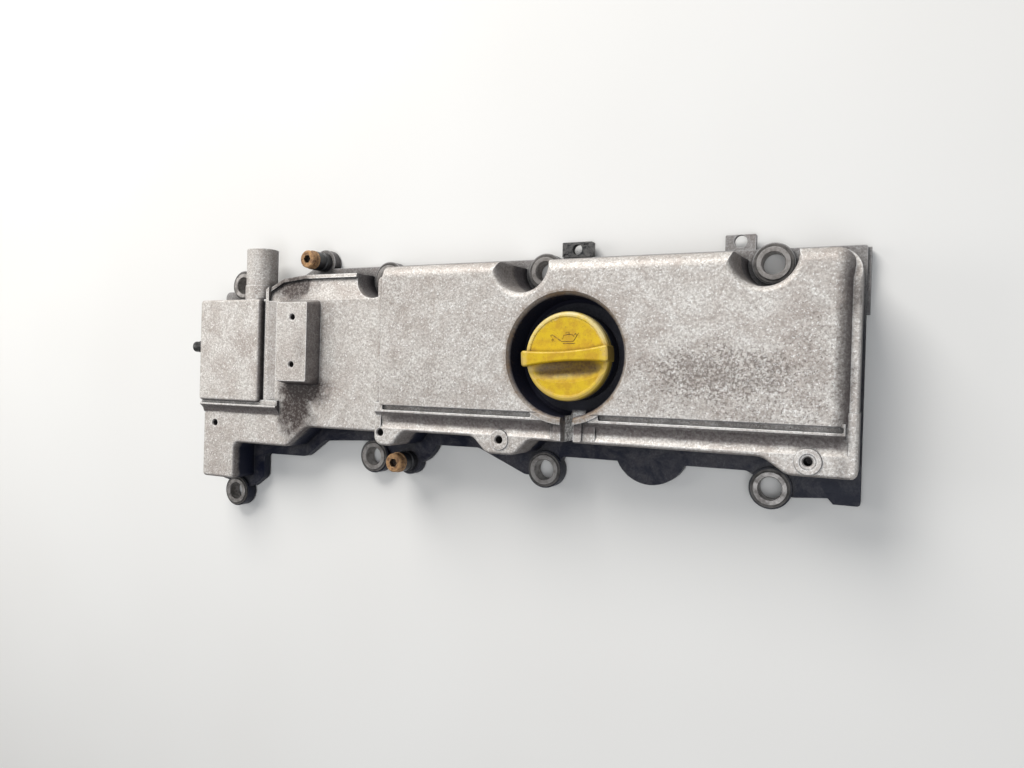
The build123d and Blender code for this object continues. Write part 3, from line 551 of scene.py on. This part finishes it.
def makeCastMaterial():
    look = castLook
    material, tree, shader, place = newMaterial("castAluminium", look["roughness"], look["metallic"],
                                                look["specular"])
    parts = tree.nodes.new("ShaderNodeSeparateXYZ")
    link(tree, place, parts.inputs[0])
    facing = tree.nodes.new("ShaderNodeSeparateXYZ")
    link(tree, tree.nodes.new("ShaderNodeNewGeometry").outputs["Normal"], facing.inputs[0])
    grain = placeGroup(tree, grainGroup, Vector=place, Scale=look["grainScale"])
    spot = {
        "place": place,
        "x": parts.outputs["X"],
        "y": parts.outputs["Y"],
        "height": parts.outputs["Z"],
        "facing": facing,
        "patches": noiseNode(tree, place, 48.0, 7.0, 0.72, 0.6),
        "wobble": mapRange(tree, noiseNode(tree, place, 85.0, 6.0, 0.7), 0.2, 0.8, -0.6, 0.6, False),
        "crumbs": noiseNode(tree, place, 520.0, 4.0, 0.7),
    }
    pipe = pipeMask(tree, spot)
    drain = drainMask(tree, spot)

    # stains, and painted shade along the right-hand fillet
    stainsAndShade = brownStainsAndShade(tree, spot)
    stainedAndShaded = mixColor(tree, stainsAndShade, castSkin(tree, look, spot), look["brown"])
    # painted shade and dirt on walls facing down or to the right and in the hollows below the ledges
    wallDirtAndShade = wallDirtAndShadeMask(tree, spot, pipe)
    dirty = mixColor(tree, mathNode(tree, "MULTIPLY", wallDirtAndShade, 0.93), stainedAndShaded, look["wallDirtAndShade"])

    # the sunken filler recess is oily and painted with shade inside, and brown along its ragged rim
    ragged = mathNode(tree, "ADD", distanceTo(tree, spot["x"], spot["y"], *capLook["centre"]),
                      mapRange(tree, spot["crumbs"], 0.3, 0.7, -0.0018, 0.0018, False))
    ragged = mathNode(tree, "ADD", ragged, mathNode(tree, "MULTIPLY", spot["wobble"], 0.0016))
    rimBrown = product(tree, ramp(tree, ragged, castPlaces["rimRadius"], 0.8, 0.0),
                       mapRange(tree, spot["wobble"], -0.2, 0.3, 0.25, 1.0))
    rimmed = mixColor(tree, rimBrown, dirty, look["rust"])
    recessOilAndShade = product(tree, ramp(tree, ragged, castPlaces["recessRadius"], 0.97, 0.0),
                        ramp(tree, spot["height"], castPlaces["recessHeight"], 1.0, 0.0))
    recessOilAndShade = mathNode(tree, "SUBTRACT", recessOilAndShade, drain, True)
    # oil and painted shade on the low walls and the flange
    lowOilAndShade = mathNode(tree, "SUBTRACT", lowOilAndShadeMask(tree, spot, pipe), drain, True)
    drainOil = mathNode(tree, "MULTIPLY", drain, mapRange(tree, spot["crumbs"], 0.42, 0.54, 0.3, 0.0))
    oil = strongest(tree, lowOilAndShade, recessOilAndShade, drainOil)
    oiled = mixColor(tree, oil, rimmed, look["oil"])

    # soot and painted shade in the corners, but not in the drain, whose floor gets painted light instead
    grimeAndShade = placeGroup(tree, grimeAndShadeGroup, Vector=place, Reach=look["grimeAndShadeReach"], Amount=look["grimeAndShadeAmount"],
                       Scale=look["grimeAndShadeScale"])
    sootAndShadeAmount = mathNode(tree, "SUBTRACT", 0.85, mathNode(tree, "MULTIPLY", drain, 0.85))
    sootyAndShaded = mixColor(tree, mathNode(tree, "MULTIPLY", grimeAndShade.outputs["Mask"], sootAndShadeAmount), oiled, look["sootAndShade"])
    # painted light on the floor of the drain
    drainPaintedLight = mathNode(tree, "MULTIPLY", drain, mapRange(tree, spot["crumbs"], 0.42, 0.58, 0.15, 0.95))
    link(tree, mixColor(tree, drainPaintedLight, sootyAndShaded, look["bright"]), shader.inputs["Base Color"])

    rough = mapRange(tree, grain.outputs["Height"], 0.3, 0.7, 0.36, 0.6, False)
    wetter = mathNode(tree, "SUBTRACT", rough, mathNode(tree, "MULTIPLY", oil, 0.08))
    link(tree, wetter, shader.inputs["Roughness"])
    dull = mathNode(tree, "MULTIPLY", strongest(tree, oil, wallDirtAndShade, stainsAndShade), look["metallic"])
    link(tree, mathNode(tree, "SUBTRACT", look["metallic"], dull, True), shader.inputs["Metallic"])
    bump = addBump(tree, shader, grain.outputs["Height"], look["bumpStrength"], look["bumpDepth"])
    soft = tree.nodes.new("ShaderNodeBevel")
    soft.samples = 6
    soft.inputs["Radius"].default_value = look["softRadius"]
    link(tree, soft.outputs["Normal"], bump.inputs["Normal"])
    return material


def makePlainMaterial(name, look):
    # one recipe for rubber, steel and plastic: grain, two tones, corner dirt with painted shade, and worn
    # edges with a painted highlight
    material, tree, shader, place = newMaterial(name, look["roughness"], look["metallic"])
    grain = placeGroup(tree, grainGroup, Vector=place, Scale=look["grainScale"])
    patches = mapRange(tree, noiseNode(tree, place, look["patchScale"], 4.0, 0.6), 0.35, 0.68)
    base = mixColor(tree, patches, look["light"], look["dark"])
    breakup = mapRange(tree, grain.outputs["Height"], 0.3, 0.6)
    # painted highlight along the edges, together with rubbed wear
    wearAndHighlight = placeGroup(tree, edgeWearAndHighlightGroup, Radius=0.0005, Gain=4.0, Breakup=breakup)
    wornAndHighlit = mixColor(tree, mathNode(tree, "MULTIPLY", wearAndHighlight.outputs["Mask"], look["wearAndHighlight"]), base, look["edge"])
    # painted shade in the corners, together with dirt
    grimeAndShade = placeGroup(tree, grimeAndShadeGroup, Vector=place, Reach=0.006, Amount=look["grimeAndShade"],
                       Scale=look["patchScale"] * 4.0)
    final = mixColor(tree, grimeAndShade.outputs["Mask"], wornAndHighlit, look["dirtAndShade"])
    link(tree, final, shader.inputs["Base Color"])
    rough = mapRange(tree, patches, 0.0, 1.0, look["roughness"] - 0.06, look["roughness"] + 0.1, False)
    link(tree, rough, shader.inputs["Roughness"])
    addBump(tree, shader, grain.outputs["Height"], look["bump"], 0.0003)
    return material


def capPlane(tree, place):
    # the place on the cap, measured from its middle and turned with its bar
    centre = tree.nodes.new("ShaderNodeVectorMath")
    centre.operation = "SUBTRACT"
    link(tree, place, centre.inputs[0])
    centre.inputs[1].default_value = toModel(capLook["centre"][0], capLook["centre"][1], 0.0)
    turned = tree.nodes.new("ShaderNodeVectorRotate")
    turned.rotation_type = "Z_AXIS"
    turned.inputs["Angle"].default_value = math.radians(-capLook["turn"])
    link(tree, centre.outputs["Vector"], turned.inputs["Vector"])
    parts = tree.nodes.new("ShaderNodeSeparateXYZ")
    link(tree, turned.outputs["Vector"], parts.inputs[0])
    return parts.outputs["X"], parts.outputs["Y"], parts.outputs["Z"]


def makeCapMaterial():
    # yellow moulded plastic, dusty round the rim, with painted shade in the finger scoop and on the side
    # wall, and dirt and painted shade along the bar
    look = capLook
    material, tree, shader, place = newMaterial("capPlastic", look["roughness"], 0.0)
    grain = placeGroup(tree, grainGroup, Vector=place, Scale=look["grainScale"])
    along, across, height = capPlane(tree, place)
    alongSquare = mathNode(tree, "MULTIPLY", along, along)
    squares = mathNode(tree, "ADD", alongSquare, mathNode(tree, "MULTIPLY", across, across))
    radius = mathNode(tree, "SQRT", squares)
    patches = noiseNode(tree, place, 150.0, 5.0, 0.7)
    base = mixColor(tree, mapRange(tree, patches, 0.38, 0.64), look["light"], look["dark"])
    wobble = mapRange(tree, noiseNode(tree, place, 320.0, 4.0, 0.7), 0.25, 0.75, -1.0, 1.0, False)
    ragged = mathNode(tree, "ADD", radius, mathNode(tree, "MULTIPLY", wobble, 0.0014))
    rim = ramp(tree, ragged, capPlaces["dustRadius"])
    upperHalf = ramp(tree, across, capPlaces["upperHalf"], 0.35, 1.0)
    dust = product(tree, rim, upperHalf, mapRange(tree, patches, 0.32, 0.56, 0.25, 0.8))
    dusted = mixColor(tree, dust, base, look["dust"])
    breakup = mapRange(tree, grain.outputs["Height"], 0.3, 0.6)
    # painted highlight along the edges and the top of the bar, together with rubbed wear
    wearAndHighlight = placeGroup(tree, edgeWearAndHighlightGroup, Radius=look["wearAndHighlightRadius"], Gain=look["wearAndHighlightGain"], Breakup=breakup)
    wornAndHighlit = mixColor(tree, mathNode(tree, "MULTIPLY", wearAndHighlight.outputs["Mask"], 0.6), dusted, look["edge"])
    speckNoise = noiseNode(tree, place, 700.0, 3.0, 0.7)
    specks = mapRange(tree, speckNoise, 0.60, 0.68, 0.0, 0.5)
    lowerSpecks = mathNode(tree, "MULTIPLY", specks, ramp(tree, across, capPlaces["fewSpecks"], 0.4, 1.0))
    specked = mixColor(tree, lowerSpecks, wornAndHighlit, look["speck"])
    inside = ramp(tree, ragged, capPlaces["scoopRadius"], 1.0, 0.0)
    dish = look["dishHeight"] / 1000.0
    sunken = mapRange(tree, height, dish - 0.0022, dish - 0.0001, 1.0, 0.0)
    unevenAcross = mathNode(tree, "ADD", across, mathNode(tree, "MULTIPLY", wobble, 0.0012))
    below = ramp(tree, unevenAcross, capPlaces["scoopAcross"])
    # painted shade in the finger scoop below the bar
    scoopShade = product(tree, inside, sunken, below, mapRange(tree, speckNoise, 0.3, 0.6, 1.0, 0.8))
    # painted shade in the corners and along the bar, together with dirt
    grimeAndShade = placeGroup(tree, grimeAndShadeGroup, Vector=place, Reach=look["grimeAndShadeReach"], Amount=look["grimeAndShadeAmount"],
                       Scale=look["grimeAndShadeScale"])
    # painted shade on the cap's side wall
    sideWallShade = ramp(tree, radius, capPlaces["wallRadius"], 0.0, 0.35)
    dirtAndShade = strongest(tree, scoopShade, mathNode(tree, "MULTIPLY", grimeAndShade.outputs["Mask"], 0.75), sideWallShade)
    link(tree, mixColor(tree, dirtAndShade, specked, look["dirtAndShade"]), shader.inputs["Base Color"])
    rough = mapRange(tree, patches, 0.3, 0.7, 0.32, 0.5, False)
    link(tree, rough, shader.inputs["Roughness"])
    addBump(tree, shader, grain.outputs["Height"], look["bumpStrength"], look["bumpDepth"])
    return material


# raised oil-can sign on the cap, drawn in millimetres from the cap's middle
signLook = {
    "lineRadius": 0.24,
    "height": 48.2,
    "lines": (
        ((-9.6, 12.9), (-10.3, 14.0), (-8.9, 14.3), (-2.6, 9.6), (5.3, 9.2), (9.1, 14.3)),
        ((-2.0, 11.2), (-1.2, 13.4), (1.6, 13.9), (4.6, 13.6), (6.0, 12.2)),
        ((6.3, 13.3), (7.0, 14.3), (7.6, 13.0)),
        ((0.4, 13.9), (0.5, 15.3), (2.6, 15.3), (2.7, 13.9)),
        ((-1.8, 8.3), (6.4, 7.8)),
        ((-9.0, 11.8), (-9.6, 10.9), (-9.0, 10.2), (-8.4, 10.9), (-9.0, 11.8)),
    ),
}


def makeSignMaterial():
    # the plastic of the cap, darkened where dirt clings to the sign's lines
    material, tree, shader, place = newMaterial("capSign", 0.55, 0.0)
    grain = placeGroup(tree, grainGroup, Vector=place, Scale=900.0)
    cling = mapRange(tree, noiseNode(tree, place, 380.0, 3.0), 0.35, 0.62, 0.95, 0.35)
    link(tree, mixColor(tree, cling, capLook["dark"], capLook["dirtAndShade"]), shader.inputs["Base Color"])
    addBump(tree, shader, grain.outputs["Height"], 0.3, 0.0002)
    return material


def addSign():
    curve = bpy.data.curves.new("oilCanSign", "CURVE")
    curve.dimensions = "3D"
    curve.bevel_depth = signLook["lineRadius"] / 1000.0
    curve.bevel_resolution = 2
    turn = math.radians(capLook["turn"])
    for line in signLook["lines"]:
        spline = curve.splines.new("POLY")
        spline.points.add(len(line) - 1)
        for point, (x, y) in zip(spline.points, line):
            alongX = capLook["centre"][0] + x * math.cos(turn) - y * math.sin(turn)
            alongY = capLook["centre"][1] + x * math.sin(turn) + y * math.cos(turn)
            point.co = (*toModel(alongX, alongY, signLook["height"]), 1.0)
    sign = bpy.data.objects.new("oilCanSign", curve)
    bpy.context.scene.collection.objects.link(sign)
    curve.materials.append(makeSignMaterial())
    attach(sign, "cap")


# rubber, bare steel and rust: two tones, rubbed edge with a painted highlight, dirt with painted corner
# shade, and how much of each
plainLooks = {
    "sealRubber": {
        "light": (0.03, 0.03, 0.032, 1),
        "dark": (0.015, 0.015, 0.016, 1),
        "edge": (0.08, 0.08, 0.08, 1),
        "dirtAndShade": (0.02, 0.018, 0.015, 1),
        "roughness": 0.55,
        "metallic": 0.0,
        "grainScale": 1200.0,
        "patchScale": 80.0,
        "wearAndHighlight": 0.3,
        "grimeAndShade": 0.5,
        "bump": 0.2,
    },
    "grommetRubber": {
        "light": (0.115, 0.105, 0.098, 1),
        "dark": (0.05, 0.045, 0.042, 1),
        "edge": (0.24, 0.23, 0.22, 1),
        "dirtAndShade": (0.012, 0.011, 0.011, 1),
        "roughness": 0.62,
        "metallic": 0.0,
        "grainScale": 1500.0,
        "patchScale": 180.0,
        "wearAndHighlight": 0.5,
        "grimeAndShade": 1.0,
        "bump": 0.35,
    },
    "bushingSteel": {
        "light": (0.34, 0.32, 0.305, 1),
        "dark": (0.17, 0.155, 0.145, 1),
        "edge": (0.66, 0.65, 0.63, 1),
        "dirtAndShade": (0.015, 0.014, 0.014, 1),
        "roughness": 0.42,
        "metallic": 0.55,
        "grainScale": 1800.0,
        "patchScale": 200.0,
        "wearAndHighlight": 0.7,
        "grimeAndShade": 1.0,
        "bump": 0.3,
    },
    "rustySteel": {
        "light": (0.44, 0.25, 0.11, 1),
        "dark": (0.16, 0.085, 0.045, 1),
        "edge": (0.66, 0.5, 0.32, 1),
        "dirtAndShade": (0.02, 0.014, 0.01, 1),
        "roughness": 0.7,
        "metallic": 0.15,
        "grainScale": 900.0,
        "patchScale": 420.0,
        "wearAndHighlight": 0.7,
        "grimeAndShade": 1.3,
        "bump": 0.8,
    },
    "sleeveRubber": {
        "light": (0.022, 0.022, 0.025, 1),
        "dark": (0.009, 0.009, 0.01, 1),
        "edge": (0.09, 0.085, 0.08, 1),
        "dirtAndShade": (0.01, 0.009, 0.008, 1),
        "roughness": 0.38,
        "metallic": 0.0,
        "grainScale": 1200.0,
        "patchScale": 150.0,
        "wearAndHighlight": 0.5,
        "grimeAndShade": 0.6,
        "bump": 0.25,
    },
    "springSteel": {
        "light": (0.16, 0.155, 0.15, 1),
        "dark": (0.016, 0.017, 0.02, 1),
        "edge": (0.3, 0.3, 0.29, 1),
        "dirtAndShade": (0.02, 0.015, 0.012, 1),
        "roughness": 0.4,
        "metallic": 0.6,
        "grainScale": 1500.0,
        "patchScale": 300.0,
        "wearAndHighlight": 0.5,
        "grimeAndShade": 0.6,
        "bump": 0.3,
    },
    "plugSteel": {
        "light": (0.09, 0.09, 0.09, 1),
        "dark": (0.03, 0.03, 0.03, 1),
        "edge": (0.25, 0.24, 0.23, 1),
        "dirtAndShade": (0.015, 0.014, 0.014, 1),
        "roughness": 0.45,
        "metallic": 0.7,
        "grainScale": 1200.0,
        "patchScale": 250.0,
        "wearAndHighlight": 0.5,
        "grimeAndShade": 0.8,
        "bump": 0.3,
    },
    "baffleSteel": {
        "light": (0.42, 0.4, 0.36, 1),
        "dark": (0.26, 0.23, 0.19, 1),
        "edge": (0.62, 0.6, 0.57, 1),
        "dirtAndShade": (0.05, 0.035, 0.02, 1),
        "roughness": 0.34,
        "metallic": 0.75,
        "grainScale": 800.0,
        "patchScale": 40.0,
        "wearAndHighlight": 0.5,
        "grimeAndShade": 0.9,
        "bump": 0.15,
    },
}

nodeLooks = {
    "cover_casting": "castAluminium",
    "filler_cap": "capPlastic",
    "filler_cap_seal": "sealRubber",
    "cover_gasket": "sealRubber",
    "clip_nut": "springSteel",
    "vent_plug": "plugSteel",
    "baffle_plate": "baffleSteel",
    "baffle_screws": "baffleSteel",
    "captive_bolt_upper": "rustySteel",
    "captive_bolt_lower": "rustySteel",
    "bolt_sleeve_upper": "sleeveRubber",
    "bolt_sleeve_lower": "sleeveRubber",
}
for number in range(1, 9):
    nodeLooks["grommet_" + str(number)] = "grommetRubber"
    nodeLooks["bushing_" + str(number)] = "bushingSteel"


def dressNodes():
    materials = {name: makePlainMaterial(name, look) for name, look in plainLooks.items()}
    materials["castAluminium"] = makeCastMaterial()
    materials["capPlastic"] = makeCapMaterial()
    for name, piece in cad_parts.items():
        piece.data.materials.clear()
        piece.data.materials.append(materials[nodeLooks[name]])


def addFloor():
    mesh = bpy.data.meshes.new("studioFloor")
    half, level = 4.0, studio["floorHeight"]
    corners = [(-half, -half, level), (half, -half, level), (half, half, level), (-half, half, level)]
    mesh.from_pydata(corners, [], [(0, 1, 2, 3)])
    floor = bpy.data.objects.new("studioFloor", mesh)
    bpy.context.scene.collection.objects.link(floor)
    material, tree, shader, place = newMaterial("paleFloor", 0.8, 0.0, 0.2)
    tone = mapRange(tree, noiseNode(tree, place, 3.0, 2.0), 0.3, 0.7)
    color = studio["floorColor"]
    warm = (color[0] * 0.97, color[1] * 0.965, color[2] * 0.96, 1)
    link(tree, mixColor(tree, tone, color, warm), shader.inputs["Base Color"])
    mesh.materials.append(material)


setUpCamera()
setUpStudio()
addFloor()
print("camera, floor and lights set")
dressNodes()
print("nodes dressed")
addSign()
print("sign added")
